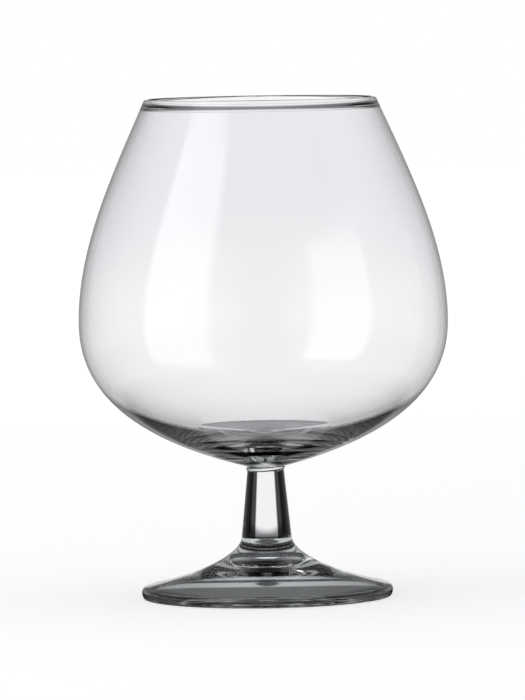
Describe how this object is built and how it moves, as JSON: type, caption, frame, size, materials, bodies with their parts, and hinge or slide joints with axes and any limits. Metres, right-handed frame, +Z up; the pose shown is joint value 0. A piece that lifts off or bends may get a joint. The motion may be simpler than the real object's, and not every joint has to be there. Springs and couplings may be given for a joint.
{
  "type": "brandy snifter",
  "caption": "Wide-bellied stemmed drinking glass whose bowl narrows towards a rounded rim, welded to a short tapered stem on a flared round foot.",
  "frame": {"origin": "middle of the foot's resting plane, on the axis of the glass", "axes": "+Z up along the axis that the whole glass is turned round; X and Y are interchangeable"},
  "size_m": [0.111, 0.111, 0.15],
  "materials": {
    "blown_glass": "clear blown soda-lime glass, fire-polished and smooth",
    "fused_glass": "clear glass, wavy where it was fused",
    "stem_glass": "clear solid glass, smooth, with faint lengthwise mould marks",
    "pressed_glass": "clear pressed glass, fire-polished, with a slightly wavy surface"
  },
  "bodies": {
    "root": {"bowl": "blown_glass", "weld_collar": "fused_glass", "stem": "stem_glass", "foot": "pressed_glass"}
  },
  "joints": []
}
